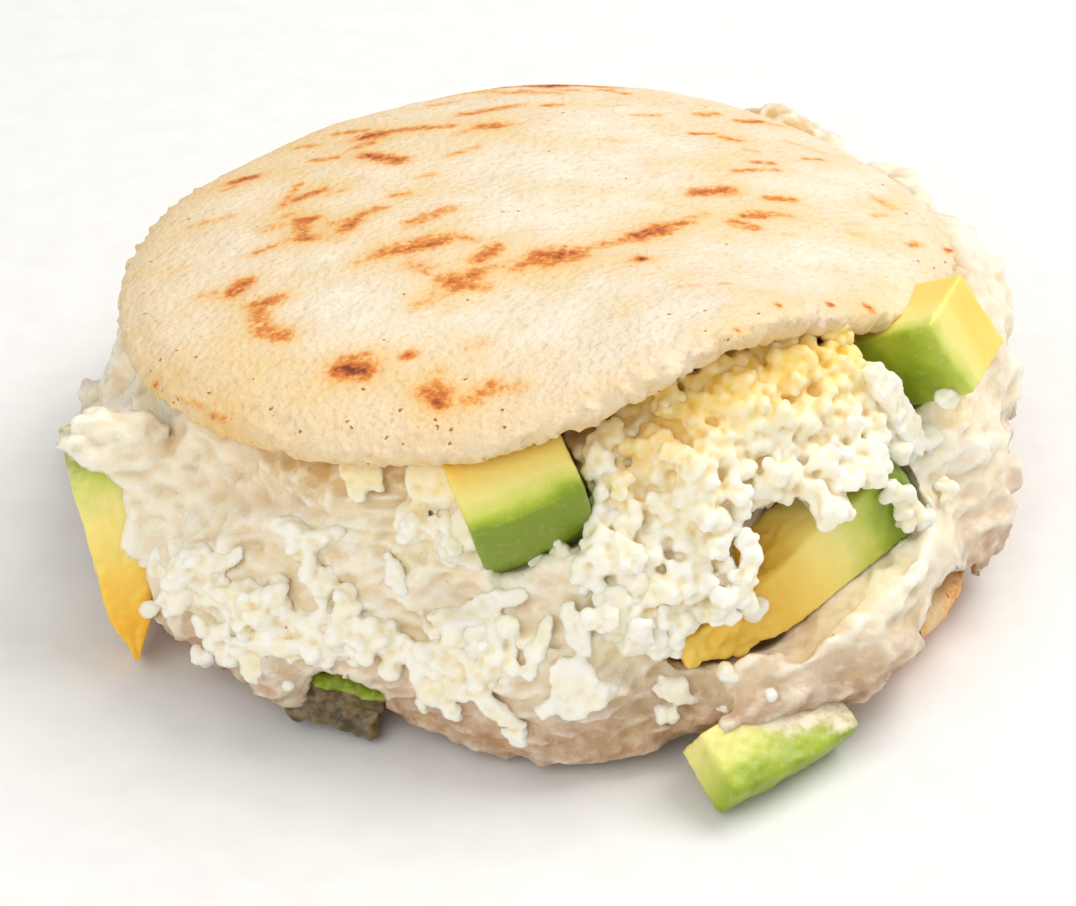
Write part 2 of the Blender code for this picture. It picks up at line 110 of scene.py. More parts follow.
# %% [markdown]
# ## Nodes for the materials
# Every finish is a tree of shader nodes, and one small function adds a node with its settings and links.
# Colours are sRGB hex codes, as a colour picker gives them, and are turned to linear light.
# A noise takes place, scale, detail and roughness, and MapRange a value, its range and the range to give.

# %% Helpers for nodes
def linear(code):
    """An sRGB hex colour as linear red, green, blue and alpha."""
    parts = [int(code[k:k + 2], 16) / 255 for k in (1, 3, 5)]
    return [part / 12.92 if part <= 0.04045 else ((part + 0.055) / 1.055) ** 2.4 for part in parts] + [1.0]


def main_output(node):
    return next(socket for socket in node.outputs if socket.enabled)


def add_node(tree, kind, *values, stops=(), **named):
    """Adds a node. Values go to its inputs in order, capital names to named inputs, and others are settings.

    An input takes a number, a colour, or a socket or node to link, and stops are the colours of a ramp.
    """
    node = tree.nodes.new("ShaderNode" + kind)
    if kind == "Mix":
        node.data_type = "RGBA"
    for name, value in named.items():
        if name[0].islower():
            setattr(node, name, value)
    inputs = list(zip([socket for socket in node.inputs if socket.enabled], values))
    inputs += [(node.inputs[name.replace("_", " ")], named[name]) for name in named if name[0].isupper()]
    for socket, value in inputs:
        if isinstance(value, (bpy.types.Node, bpy.types.NodeSocket)):
            tree.links.new(main_output(value) if isinstance(value, bpy.types.Node) else value, socket)
        else:
            socket.default_value = linear(value) if isinstance(value, str) else value
    for k, (position, colour) in enumerate(stops):
        ramp = node.color_ramp.elements
        stop = ramp[k] if k < 2 else ramp.new(position)
        stop.position = position
        stop.color = linear(colour)
    return node


def new_material(name, *numbers):
    """A material, a function that adds nodes to it, and sockets: the place, then each painted number."""
    material = bpy.data.materials.new(name)
    material.use_nodes = True
    add = partial(add_node, material.node_tree)
    painted = [add("Attribute", attribute_name=number).outputs["Fac"] for number in numbers]
    return material, add, add("TexCoord").outputs["Object"], *painted


def per(size_mm):
    """The scale of a noise with features this many millimetres wide."""
    return 1000.0 / size_mm


def moist_surface(material, colour, bump, roughness, share, spread, depth_mm):
    """Links colour and bump, and lets a share of the light scatter this deep under the surface."""
    tree = material.node_tree
    inputs = tree.nodes["Principled BSDF"].inputs
    tree.links.new(main_output(colour), inputs["Base Color"])
    tree.links.new(main_output(bump), inputs["Normal"])
    inputs["Roughness"].default_value = roughness
    inputs["Subsurface Weight"].default_value = share
    inputs["Subsurface Radius"].default_value = spread
    inputs["Subsurface Scale"].default_value = depth_mm * MM
    print(material.name, "has", len(tree.nodes), "nodes")
    return material


# %% [markdown]
# ## Soft studio light on a pale floor
# The picture is lit by a large soft light from above, behind and to the right, so the right side is almost
# white and the lower front falls into warm shade.
# Two area lights and a white world give that: the wider a light, the softer the edge of its shadow.

# %% Floor and lights
def mesh_of(bm, name):
    """A mesh with the shape of the bmesh, which is freed."""
    mesh = bpy.data.meshes.new(name)
    bm.to_mesh(mesh)
    bm.free()
    return mesh


def area_light(name, place, size, power, colour):
    light = bpy.data.lights.new(name, "AREA")
    light.size = size
    light.energy = power
    light.color = linear(colour)[:3]
    lamp = new_object(name, light)
    lamp.location = place
    lamp.rotation_euler = (Vector(place) - TARGET).to_track_quat("Z", "Y").to_euler()


# A sheet of matt white card fills the picture.
card, add, place = new_material("matt_white_card")
fibre = add("TexNoise", place, per(6), 3.0)
tint = add("ValToRGB", fibre, stops=((0.3, "#ECEDEE"), (0.7, "#F1F2F3")))
inputs = card.node_tree.nodes["Principled BSDF"].inputs
card.node_tree.links.new(main_output(tint), inputs["Base Color"])
inputs["Roughness"].default_value = 0.85
bm = bmesh.new()
bmesh.ops.create_grid(bm, x_segments=8, y_segments=8, size=3.0)
floor = new_object("floor", mesh_of(bm, "floor"))
floor.data.materials.append(card)

area_light("key_light", (0.38, 0.16, 0.66), 0.50, 4.3, "#FFFAF2")
area_light("fill_light", (-0.34, -0.56, 0.52), 0.60, 2.4, "#FFFBF3")
world = bpy.data.worlds.new("white_studio")
world.use_nodes = True
background = world.node_tree.nodes["Background"].inputs
background["Color"].default_value = linear("#FFFFFF")
background["Strength"].default_value = 0.50
scene.world = world
scene.view_settings.view_transform = "Standard"

# %% [markdown]
# ## From solid to soft food
# The solids have flat facets, which no food has.
# Subdivision Surface rounds a copy and keeps its layout.
# A voxel Remesh then lays an even skin of small squares over all that is in it, so that lumps, strands and
# crumbs that touch melt together, as wet food does.

# %% Helpers that reskin a solid
def merged_copy(node):
    """A CAD node's loose triangles, welded into one closed skin."""
    bm = bmesh.new()
    bm.from_mesh(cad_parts[node].data)
    bmesh.ops.remove_doubles(bm, verts=bm.verts, dist=0.01 * MM)
    bmesh.ops.recalc_face_normals(bm, faces=bm.faces)
    return bm


def reskinned(bm, voxel, rounds=0, levels=0):
    """The bmesh after Subdivision Surface, voxel Remesh and Smooth."""
    mesh = mesh_of(bm, "skin")
    holder = new_object("skin", mesh)
    if levels:
        subdivision = holder.modifiers.new("round", "SUBSURF")
        subdivision.levels = subdivision.render_levels = levels
    remesh = holder.modifiers.new("skin", "REMESH")
    remesh.mode = "VOXEL"
    remesh.voxel_size = voxel
    if rounds:
        smooth = holder.modifiers.new("soften", "SMOOTH")
        smooth.iterations = rounds
    graph = bpy.context.evaluated_depsgraph_get()
    result = bpy.data.meshes.new_from_object(holder.evaluated_get(graph))
    bpy.data.objects.remove(holder)
    bpy.data.meshes.remove(mesh)
    fresh = bmesh.new()
    fresh.from_mesh(result)
    bpy.data.meshes.remove(result)
    fresh.normal_update()
    return fresh


def push(bm, rule):
    """Moves each vertex along its normal by rule(place, normal)."""
    bm.normal_update()
    moves = [rule(vert.co, vert.normal) * vert.normal for vert in bm.verts]
    for vert, move in zip(bm.verts, moves):
        vert.co += move
    bm.normal_update()


# %% [markdown]
# A number stored on each vertex, such as how toasted it is, reaches the material as an attribute.

# %% Helpers for relief and for numbers on the vertices
HOLLOW = 0.45 * MM      # the depth of a hollow that counts as 1


def smoothstep(low, high, value):
    """0 at low and 1 at high, with soft ends. low may be the larger."""
    share = min(1.0, max(0.0, (value - low) / (high - low)))
    return share * share * (3.0 - 2.0 * share)


def fade(low_mm, high_mm, value):
    """smoothstep with its two ends in millimetres."""
    return smoothstep(low_mm * MM, high_mm * MM, value)


def swell(place, size_mm):
    """Smooth noise between -1 and 1 whose swells are about this many millimetres wide."""
    return noise.noise(place / (size_mm * MM))


def paint(bm, name, rule):
    """Stores rule(vertex) as a number on each vertex, which a material reads as an attribute."""
    layer = bm.verts.layers.float.new(name)
    for vert in bm.verts:
        vert[layer] = rule(vert)


def paint_hollows(bm, rounds):
    """Stores how far a vertex lies below its softened surroundings, and less than 0 on a ridge."""
    soft = bm.copy()
    axes = dict.fromkeys(("use_axis_x", "use_axis_y", "use_axis_z"), True)
    for _ in range(rounds):
        bmesh.ops.smooth_vert(soft, verts=soft.verts, factor=0.5, **axes)
    levels = [(after.co - before.co).dot(before.normal) / HOLLOW
              for before, after in zip(bm.verts, soft.verts)]
    soft.free()
    paint(bm, "hollow", lambda vert: max(-1.0, min(1.0, levels[vert.index])))


def show(name, bm, material, slot, *nodes):
    """Makes the finished piece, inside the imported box, riding on the arepa's one body."""
    low, high = cad_box
    for vert in bm.verts:
        vert.co = [min(max(part, a), b) for part, a, b in zip(vert.co, low, high)]
    mesh = mesh_of(bm, name)
    mesh.shade_smooth()
    mesh.materials.append(material)
    piece = new_object(name, mesh)
    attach(piece, "root")
    if nodes:
        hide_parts(*nodes)
    mesh.calc_loop_triangles()
    print(name, "has", len(mesh.loop_triangles), "triangles")


# %% [markdown]
# ## The masa crust
# White corn dough is patted into a disc and griddled dry.
# Its skin is pale and finely grainy, cream to yellow, and golden to brown where a high spot met the iron.
# Relief down to about 1 mm is in the mesh, and finer grain is left to a bump map, which costs nothing.

# %% The masa material
finish, add, place, toast, rim, yellow = new_material("griddled_corn_dough", "toast", "rim", "yellow")
cloud = add("TexNoise", place, per(9), 4.0, 0.6)
flecks = add("TexNoise", place, per(1.1), 4.0, 0.7)
grit = add("TexVoronoi", place, per(0.9), Randomness=1.0, feature="SMOOTH_F1")
pale = add("ValToRGB", cloud, stops=((0.32, "#EFDAAE"), (0.50, "#F1E3CB"), (0.68, "#F7EEDD")))
warm = add("Mix", yellow, pale, "#F0C980")
freckle = add("ValToRGB", flecks, stops=((0.30, "#EFCF92"), (0.48, "#FFFFFF"), (0.70, "#FFFFFF")))
dough = add("Mix", 0.45, warm, freckle, blend_type="MULTIPLY")
broken = add("MapRange", flecks, 0.30, 0.70, 0.35, 1.45)
burnt = add("Math", toast, broken, operation="MULTIPLY")
brown = add("ValToRGB", burnt, stops=((0.06, "#F8D79C"), (0.26, "#F2B15C"), (0.48, "#DD8434"),
            (0.74, "#B75A22"), (1.0, "#7A3413")))
cover = add("MapRange", burnt, 0.02, 0.42, interpolation_type="SMOOTHSTEP")
toasted = add("Mix", cover, dough, brown)
ragged = add("Mix", 1.2 * MM, place, flecks.outputs["Color"], blend_type="ADD")
dots = add("TexVoronoi", ragged, per(2.0))
small = add("Math", dots, 0.13, operation="LESS_THAN")
some = add("SeparateColor", Color=dots.outputs["Color"])
chosen = add("Math", some, rim, operation="LESS_THAN")
speck = add("Math", small, chosen, operation="MULTIPLY")
colour = add("Mix", speck, toasted, "#B5702E")
coarse = add("Bump", Height=flecks, Strength=0.80, Distance=0.45 * MM)
fine = add("Bump", Height=grit, Strength=0.70, Distance=0.35 * MM, Normal=coarse)
masa = moist_surface(finish, colour, fine, 0.58, 0.10, (1.0, 0.65, 0.35), 1.6)

# %% [markdown]
# ## The upper half
# The toast is a broken ring round the flat middle, strokes towards the back, and loose spots.
# Each stroke runs between two points of the picture, and rays through them find its ends on the crust.
# Every vertex then takes the strongest stroke near it.

# %% Toast strokes on the lid
TOAST = (   # x, y to x, y in the picture, width in mm, strength
    (462, 90, 600, 86, 2.4, 0.9), (440, 96, 495, 86, 2.2, 0.36), (500, 92, 560, 93, 1.4, 0.34),
    (600, 88, 628, 93, 0.7, 0.45), (433, 105, 455, 102, 1.2, 0.34), (464, 114, 516, 106, 1.3, 0.52),
    (488, 111, 500, 109, 1, 0.45), (545, 105, 558, 105, 1, 0.5), (336, 133, 364, 130, 1, 0.48),
    (364, 136, 379, 133, 1.4, 0.8), (359, 147, 371, 142, 1.1, 0.5), (366, 156, 401, 161, 1.3, 0.7),
    (389, 131, 423, 127, 1, 0.62), (426, 128, 450, 126, 1, 0.52), (483, 126, 498, 125, 1.2, 0.7),
    (455, 134, 485, 127, 1, 0.34), (500, 124, 520, 123, 0.9, 0.3), (449, 155, 476, 146, 1.1, 0.34),
    (299, 147, 316, 145, 1.1, 0.44), (314, 160, 335, 158, 1, 0.44), (234, 182, 254, 177, 1.3, 0.7),
    (226, 190, 236, 185, 0.9, 0.4), (282, 206, 299, 184, 0.9, 0.42), (294, 199, 321, 189, 1.2, 0.58),
    (324, 194, 344, 189, 0.9, 0.34), (394, 194, 407, 193, 0.9, 0.5), (418, 177, 434, 174, 0.8, 0.38),
    (285, 215, 290, 213, 0.7, 0.5), (299, 218, 312, 217, 1.1, 0.72), (303, 219, 303, 237, 1.2, 0.58),
    (299, 237, 314, 237, 1, 0.62), (262, 230, 299, 219, 1.5, 0.32), (254, 254, 289, 239, 1.4, 0.36),
    (334, 224, 354, 217, 1.4, 0.4), (344, 229, 356, 219, 1.2, 0.62), (364, 212, 379, 207, 1.3, 0.54),
    (314, 234, 339, 239, 1.6, 0.26), (190, 227, 232, 217, 1, 0.3), (174, 272, 183, 268, 1.2, 0.24),
    (205, 296, 234, 290, 2.2, 0.3), (234, 291, 244, 283, 1.4, 0.72), (254, 304, 277, 299, 1.4, 0.56),
    (257, 308, 262, 331, 1.6, 0.5), (262, 330, 284, 334, 1.5, 0.56), (341, 369, 364, 370, 1.3, 0.98),
    (345, 359, 366, 356, 1.1, 0.5), (408, 355, 411, 354, 0.8, 0.75), (471, 346, 483, 344, 1.8, 0.28),
    (430, 391, 438, 393, 1.8, 0.6), (436, 401, 441, 403, 1.2, 0.75), (433, 380, 441, 372, 1.6, 0.28),
    (473, 397, 491, 386, 1.9, 0.44), (495, 388, 520, 386, 1.8, 0.32), (384, 252, 438, 239, 2, 0.5),
    (403, 249, 441, 241, 1.3, 0.7), (356, 264, 384, 252, 1.7, 0.28), (411, 222, 448, 209, 1.6, 0.46),
    (411, 264, 428, 269, 2.2, 0.36), (448, 234, 473, 239, 1.4, 0.38), (446, 279, 457, 285, 1.5, 0.62),
    (457, 280, 475, 273, 1.5, 0.62), (464, 285, 482, 285, 1.4, 0.46), (479, 259, 495, 247, 1.4, 0.58),
    (418, 304, 438, 294, 1.8, 0.3), (446, 310, 450, 306, 1.4, 0.24), (475, 270, 518, 262, 1.4, 0.34),
    (518, 266, 540, 259, 1.6, 0.44), (541, 257, 571, 255, 1.9, 0.74), (548, 263, 562, 261, 1.4, 0.55),
    (575, 253, 600, 245, 1.4, 0.38), (600, 245, 632, 239, 1.2, 0.44), (638, 236, 663, 228, 1.6, 0.78),
    (667, 225, 688, 222, 1.1, 0.55), (692, 217, 706, 214, 0.9, 0.34), (640, 260, 642, 260, 0.6, 1.3),
    (606, 106, 629, 105, 0.8, 0.24), (636, 116, 659, 116, 0.8, 0.4), (608, 140, 625, 141, 1.1, 0.24),
    (700, 115, 717, 114, 1, 0.5), (740, 121, 760, 121, 0.9, 0.64), (763, 123, 785, 127, 0.8, 0.34),
    (692, 133, 713, 133, 0.7, 0.54), (721, 137, 740, 141, 0.8, 0.48), (746, 149, 755, 151, 0.8, 0.34),
    (754, 161, 771, 163, 0.9, 0.48), (736, 171, 777, 169, 1, 0.42), (785, 142, 800, 145, 0.8, 0.28),
    (806, 158, 821, 159, 0.8, 0.48), (806, 148, 823, 152, 0.8, 0.28), (696, 192, 729, 190, 1.3, 0.68),
    (767, 197, 794, 199, 0.8, 0.54), (748, 211, 790, 215, 1, 0.42), (744, 216, 765, 216, 0.9, 0.6),
    (733, 222, 754, 229, 1.1, 0.52), (785, 235, 794, 235, 0.8, 0.28), (875, 197, 893, 208, 0.9, 0.38),
    (875, 215, 885, 215, 0.7, 0.34), (850, 231, 862, 233, 0.8, 0.28), (844, 222, 862, 223, 0.7, 0.24),
    (910, 245, 918, 244, 0.9, 0.4), (679, 285, 700, 285, 0.7, 0.26), (721, 283, 727, 283, 0.8, 0.3),
    (738, 328, 740, 328, 0.4, 0.8), (778, 303, 780, 304, 0.4, 0.9), (829, 305, 832, 305, 0.4, 0.9),
    (867, 308, 869, 311, 0.5, 0.9), (947, 250, 949, 250, 0.4, 0.8), (152, 387, 156, 386, 0.5, 0.7),
    (235, 437, 241, 440, 0.5, 0.95), (214, 417, 224, 420, 0.5, 0.6), (182, 399, 202, 407, 0.5, 0.45),
)
lid_shape = BVHTree.FromBMesh(merged_copy("arepa_lid"))
lid_strokes = []        # two ends on the crust, width and strength
for x0, y0, x1, y1, width, strength in TOAST:
    ends = [lid_shape.ray_cast(*sight(x, y))[0] for x, y in ((x0, y0), (x1, y1))]
    if None not in ends:
        lid_strokes.append((*ends, width * MM, strength))
print(len(lid_strokes), "of", len(TOAST), "toast strokes lie on the lid")

# %% [markdown]
# A stroke is brown in its middle, fades within a few widths, and leaves a golden haze of some millimetres.
# A k-d tree finds the vertices near a stroke.

# %% Toast at each vertex
HAZE_REACH = 4.5 * MM
STROKE_REACH = 10 * MM
MOST_HAZE = 2.4


def tree_of(places):
    """A k-d tree, which finds the nearest of many places fast."""
    tree = kdtree.KDTree(len(places))
    for k, place in enumerate(places):
        tree.insert(place, k)
    tree.balance()
    return tree


def toast_on(bm):
    """The strongest toast at each vertex, and the haze round it."""
    near = tree_of([vert.co for vert in bm.verts])
    toast, haze = [0.0] * len(bm.verts), [0.0] * len(bm.verts)
    for start, end, width, strength in lid_strokes:
        line = end - start
        for place, index, _ in near.find_range((start + end) / 2, line.length / 2 + STROKE_REACH):
            share = max(0.0, min(1.0, (place - start).dot(line) / max(line.length_squared, 1e-12)))
            gap = (place - start - share * line).length
            ratio = gap / width
            feather = 0.60 * math.exp(-ratio * ratio) + 0.40 * math.exp(-0.33 * ratio)
            toast[index] = max(toast[index], strength * feather)
            haze[index] += strength * math.exp(-(gap / HAZE_REACH) ** 2)
    return [max(mark, 0.085 * min(gold, MOST_HAZE)) for mark, gold in zip(toast, haze)], haze


def back_toast(vert):
    """The back edge lay longest on the iron."""
    middle = math.exp(-((vert.co.x - 1 * MM) / (16 * MM)) ** 2)
    streak = 0.55 + 0.9 * noise.noise(Vector((vert.co.x / 6, vert.co.y / 2, 0.0)) / MM)
    return 0.85 * middle * streak * fade(41, 50, vert.co.y) * smoothstep(-0.3, 0.1, vert.normal.z)


def lid_yellow_and_painted_shade(vert):
    """The rim and the left of the crust are yellower than its middle and right, the left partly as painted
    warm shade. The underside is painted warm shade.
    """
    edge = fade(38, 54, vert.co.xy.length)
    left = fade(20, -50, vert.co.x + 0.4 * vert.co.y)
    # painted warm shade on the underside of the lid
    below = smoothstep(0.2, -0.4, vert.normal.z)
    behind = fade(-5, 32, vert.co.y)
    return 0.02 + 0.40 * edge * (0.20 + 0.80 * left) + 0.40 * left * behind + 0.3 * below


# %% [markdown]
# The lid is a copy of its solid, rounded, reskinned at half a millimetre and given relief.
# Its rim is where the knife tore the disc open, so grains of crumb cover it before the remesh joins them.
# A ray from outside finds where each grain sits, and golden-ratio steps spread the grains without a pattern.

# %% Helpers that lay small lumps on a wall
def spread(k):
    """The k-th share of a turn, in steps of the golden ratio."""
    return k * 0.618034 % 1.0


def on_wall(shape, angle, height):
    """The wall seen from outside at this angle and height: its place and normal."""
    side = Vector((math.cos(angle), math.sin(angle), 0.0))
    start = side * 0.12 + Vector((0.0, 0.0, height + 0.032))
    return shape.ray_cast(start, (-side * 0.06 + Vector((0.0, 0.0, -0.03))).normalized())[:2]


ball = bmesh.new()
bmesh.ops.create_icosphere(ball, subdivisions=2, radius=1.0)
round_lump = mesh_of(ball, "round_lump")


def lump(bm, matrix, radii):
    """A round lump with three radii, as a copy of one ball, which is faster than an operator."""
    copy = round_lump.copy()
    copy.transform(matrix @ Matrix.Diagonal((*radii, 1.0)))
    bm.from_mesh(copy)
    bpy.data.meshes.remove(copy)


# %% The lid
RIM_GRAINS = 2500
LID_VOXEL = 0.54 * MM


def crust_relief(place, normal):
    """Pats of the hand and grain on the faces, and torn crumb on the rim."""
    patted = 0.30 * swell(place, 13) + 0.14 * swell(place, 4)
    grain = 0.05 * swell(place, 1.3)
    rim = smoothstep(0.85, 0.25, abs(normal.z))
    crumbs = 0.34 * swell(place, 2.3) + 0.75 * abs(swell(place, 1.5))
    return (patted + grain + rim * crumbs) * MM


def rim_crumbs(bm, draw):
    """Grains of crumb on the torn rim, half sunk: fewer at the back, larger where the rim curls up."""
    for k in range(RIM_GRAINS):
        tries = [on_wall(lid_shape, math.tau * spread(k), draw.uniform(2, 57) * MM) for _ in range(16)]
        rim = [hit for hit in tries if hit[0] is not None and -0.8 < hit[1].z < 0.66]
        if rim and draw.random() > 0.8 * fade(-15, 15, rim[0][0].y):
            place, normal = rim[0]
            curled = fade(-5, 15, place.x) * fade(0, -15, place.y)
            radius = draw.triangular(0.30, 0.85 + 0.55 * curled, 0.50) * MM
            radii = [radius * draw.uniform(0.8, 1.3) for _ in range(3)]
            lump(bm, Matrix.Translation(place - (0.55 - 0.30 * curled) * radius * normal), radii)


bm = reskinned(merged_copy("arepa_lid"), 1.0 * MM, rounds=6, levels=2)
rim_crumbs(bm, random.Random(2))
bm = reskinned(bm, LID_VOXEL, rounds=1)
push(bm, crust_relief)
toast, haze = toast_on(bm)
paint(bm, "toast", lambda vert: max(toast[vert.index] if vert.normal.z > 0.1 else 0.0, back_toast(vert)))
paint(bm, "rim", lambda vert: 0.04 + 0.5 * fade(46, 53, vert.co.xy.length))
paint(bm, "yellow", lambda vert: min(1.0, lid_yellow_and_painted_shade(vert) + 0.32 * min(haze[vert.index], 2.2)))
show("lid_crust", bm, masa, "masa", "arepa_lid")

# %% [markdown]
# ## The lower half
# Only slivers of it show under the filling, toasted brown along the side that lay on the iron.
# It is made as the lid is, and its toast comes from the height: most at the turn of the underside.

# %% The base
def base_toast(vert):
    browned = 0.32 * fade(14, 7, vert.co.z) + 0.35 * fade(8, 1.5, vert.co.z)
    return browned * (0.75 + 0.6 * swell(vert.co, 7))


bm = reskinned(merged_copy("arepa_base"), 0.8 * MM, rounds=3, levels=2)
push(bm, crust_relief)
for vert in bm.verts:
    vert.co.z = max(vert.co.z, 0.0)
paint(bm, "toast", base_toast)
paint(bm, "rim", lambda vert: 0.05)
paint(bm, "yellow", lambda vert: 0.6)
show("base_crust", bm, masa, "masa", "arepa_base")

# %% [markdown]
# ## The avocado
# Each chunk has one peeled skin side, deep green, that fades through lime to butter yellow at the stone.
# The colour therefore follows the depth below the skin, which is a direction of its own on each chunk.
# Where dressing clings to a chunk, a cloudy film lies over the flesh.

# %% Avocado flesh
def avocado_flesh(name, thin_film, thick_film):
    """Cut ripe avocado: smooth and moist, coloured by skin_depth, under a film where it is dressed."""
    material, add, place, depth, dressed = new_material(name, "skin_depth", "dressed")
    drift = add("TexNoise", place, per(5), 3.0)
    shift = add("MapRange", drift, 0.3, 0.7, -0.04, 0.06)
    where = add("Math", depth, shift, operation="ADD")
    flesh = add("ValToRGB", where, stops=((0.00, "#7F9614"), (0.07, "#A2B62A"), (0.17, "#CDD562"),
                (0.32, "#F0E78E"), (0.50, "#FDE684"), (0.74, "#FDD45C"), (1.00, "#FBBE30")))
    fibres = add("TexNoise", place, per(0.9), 3.0, 0.6)
    pale = add("MapRange", fibres, 0.58, 0.78, 0.0, 0.18)
    mottled = add("Mix", pale, flesh, "#FBF6CF")
    film = add("TexNoise", place, per(2.2), 4.0, 0.65)
    patchy = add("Math", dressed, film, operation="ADD")
    cover = add("MapRange", patchy, 0.80, 1.30, 0.0, 0.95, interpolation_type="SMOOTHSTEP")
    streaks = add("ValToRGB", film, stops=((0.38, thin_film), (0.60, thick_film)))
    colour = add("Mix", cover, mottled, streaks)
    bump = add("Bump", Height=fibres, Strength=0.30, Distance=0.15 * MM)
    return moist_surface(material, colour, bump, 0.40, 0.30, (1.0, 0.9, 0.25), 1.8)


avocado = avocado_flesh("cut_avocado_flesh", "#C9B48C", "#EFE4C8")
# The low chunk's coat is brown dressing darkened almost to black, as painted shade.
dark_dressing_and_painted_shade = avocado_flesh("avocado_under_dressing_and_painted_shade", "#2C1A0A", "#7E6448")

# %% [markdown]
# The table repeats each chunk's place, the way its skin side and its upper cut face look, and its depth from
# skin to stone.
# Its last three numbers say how many millimetres the fade from skin, 0, to stone, 1, would take, where the
# chunk's skin side is on it, and the most that it reaches.

# %% Where the chunks are
# The short fade and first of the left chunk darken it towards ochre, as painted shade, and the first of the
# back-right chunk lightens its skin, as painted light.
CHUNKS = {   # middle, skin direction, top direction, depth and length of the fade in mm, first, last
    "avocado_left": ((-52.2, -35.4, 14.6), (-0.127, 0.410, 0.903), (0.157, -0.895, 0.415),
                     28.8, 23.0, -0.05, 1.0),
    "avocado_centre": ((-3.0, -49.0, 34.5), (0.350, -0.850, -0.390), (-0.160, -0.430, 0.890),
                       15.4, 13.0, 0.0, 0.85),
    "avocado_back_right": ((47.6, -24.2, 37.7), (-0.474, -0.852, -0.224), (-0.551, 0.089, 0.829),
                           10.0, 11.0, 0.11, 0.62),
    "avocado_wedge": ((29.0, -45.6, 18.2), (0.753, 0.572, 0.325), (-0.353, -0.066, 0.933),
                      34.5, 24.0, -0.10, 0.72),
    "avocado_front": ((27.8, -61.7, 5.4), (0.543, -0.648, -0.535), (0.343, -0.410, 0.845),
                      8.5, 26.0, 0.02, 1.0),
    "avocado_low_left": ((-25.0, -52.7, 4.4), (0.150, 0.200, 0.970), (-0.150, -0.970, 0.200),
                         5.8, 16.0, -0.02, 1.0),
}
RAGGED = {"avocado_front": 0.3, "avocado_left": 0.4, "avocado_low_left": 1.8}     # how torn their faces are


def set_down(place, *axes):
    """The matrix that moves something to a place, with its +X, +Y and +Z along three axes."""
    return Matrix.Translation(place) @ Matrix(axes).transposed().to_4x4()


def standing(place, forward, up):
    """The matrix that puts +Y along forward and +Z nearly along up."""
    y_axis = Vector(forward).normalized()
    x_axis = y_axis.cross(Vector(up)).normalized()
    return set_down(place, x_axis, y_axis, x_axis.cross(y_axis))


def stone(local, node):
    """How near a place is to the hollow that the stone left, where the flesh is deepest yellow."""
    if node != "avocado_wedge":
        return 0.0
    across, along = (local.x / (9.5 * MM) + 0.25) / 0.65, (local.y / (34.5 * MM) + 0.18) / 0.24
    return math.exp(-across ** 2 - along ** 2) * fade(-2.5, 2.5, local.z)


salad_shape = BVHTree.FromBMesh(merged_copy("chicken_salad"))
chunk_skins = {node: BVHTree.FromBMesh(merged_copy(node)) for node in CHUNKS}
print(len(CHUNKS), "chunks of avocado")


# %% Dressing on the chunks
def away(shape, place):
    """Distance from a place to a solid."""
    return shape.find_nearest(place)[3]


DRESSING = {    # how dressed a vertex is, from its place in the scene and in the chunk
    # a smear on the top right of the left chunk
    "avocado_left": lambda vert, local: 0.62 * fade(6.0, 12.0, local.y) * fade(-1.0, 3.5, -local.x),
    # dressing clings to the chunk at the front where it comes out of the salad
    "avocado_front": lambda vert, local: (0.85 * fade(7.5, 0.5, away(salad_shape, vert.co))
                                          * smoothstep(-0.5, 0.3, vert.normal.z)),
    # the low chunk is coated, but for the green strip along its top, in brown dressing darkened as painted
    # shade
    "avocado_low_left": lambda vert, local: 1.20 * fade(2.5, 1.9, local.y),
}


# %% Cutting the chunks
def sharpen(bm, turn, inward, tip):
    """Draws one end of a chunk to a point, as its cut ran out there."""
    for vert in bm.verts:
        local = inward @ vert.co
        local.x *= 1.0 - 0.8 * smoothstep(tip + 6.0 * MM, tip, local.y)
        vert.co = turn @ local


def make_chunk(node):
    """Rounds the cut edges a little, then adds the knife's ripples and torn flesh."""
    middle, skin, top, depth_mm, fade_mm, first, last = CHUNKS[node]
    turn, depth = standing(Vector(middle) * MM, skin, top), depth_mm * MM
    inward = turn.inverted()
    dressing = DRESSING.get(node)

    def below_skin(place):
        return 0.5 * depth - (inward @ place).y

    def ripples(place, normal):
        torn = smoothstep(0.45 * depth, 0.8 * depth, below_skin(place))
        drag = 0.10 * swell(place, 3.5) + 0.05 * swell(place, 1.0)
        tear = 0.7 * swell(place, 2.6) + 0.4 * swell(place, 1.1)
        slice_torn = torn if node == "avocado_wedge" else 0.0
        rough = max(slice_torn, 2.2 * stone(inward @ place, node), RAGGED.get(node, 0.0))
        return (drag + rough * tear) * MM

    def skin_depth(vert):
        return min(first + below_skin(vert.co) / (fade_mm * MM), last) + 0.35 * stone(inward @ vert.co, node)

    bm = reskinned(merged_copy(node), 0.36 * MM, rounds=5)
    push(bm, ripples)
    if node == "avocado_left":
        sharpen(bm, turn, inward, -0.5 * depth)
    paint(bm, "skin_depth", skin_depth)
    paint(bm, "dressed", lambda vert: dressing(vert, inward @ vert.co) if dressing else 0.0)
    show(node + "_flesh", bm, dark_dressing_and_painted_shade if node == "avocado_low_left" else avocado, "avocado", node)


for node in CHUNKS:
    make_chunk(node)

# %% [markdown]
# ## Laying things on the filling
# Lumps, strands and curds lie on the wall of the filling at random.
# Tests of distance keep the bare avocado and the lid free of them.

# %% Helpers that place things on the wall
cheese_shape = BVHTree.FromBMesh(merged_copy("grated_cheese"))


def seat(place, normal, lean, sink=0.0):
    """The matrix that lays something on a surface, sunk by so much and leaning by so many degrees."""
    level = Vector((-normal.y, normal.x, 0.0))
    level = level.normalized() if level.length > 0.01 else Vector((1.0, 0.0, 0.0))
    along = Matrix.Rotation(math.radians(lean), 3, normal) @ level
    return set_down(place - sink * normal, along, normal.cross(along), normal)


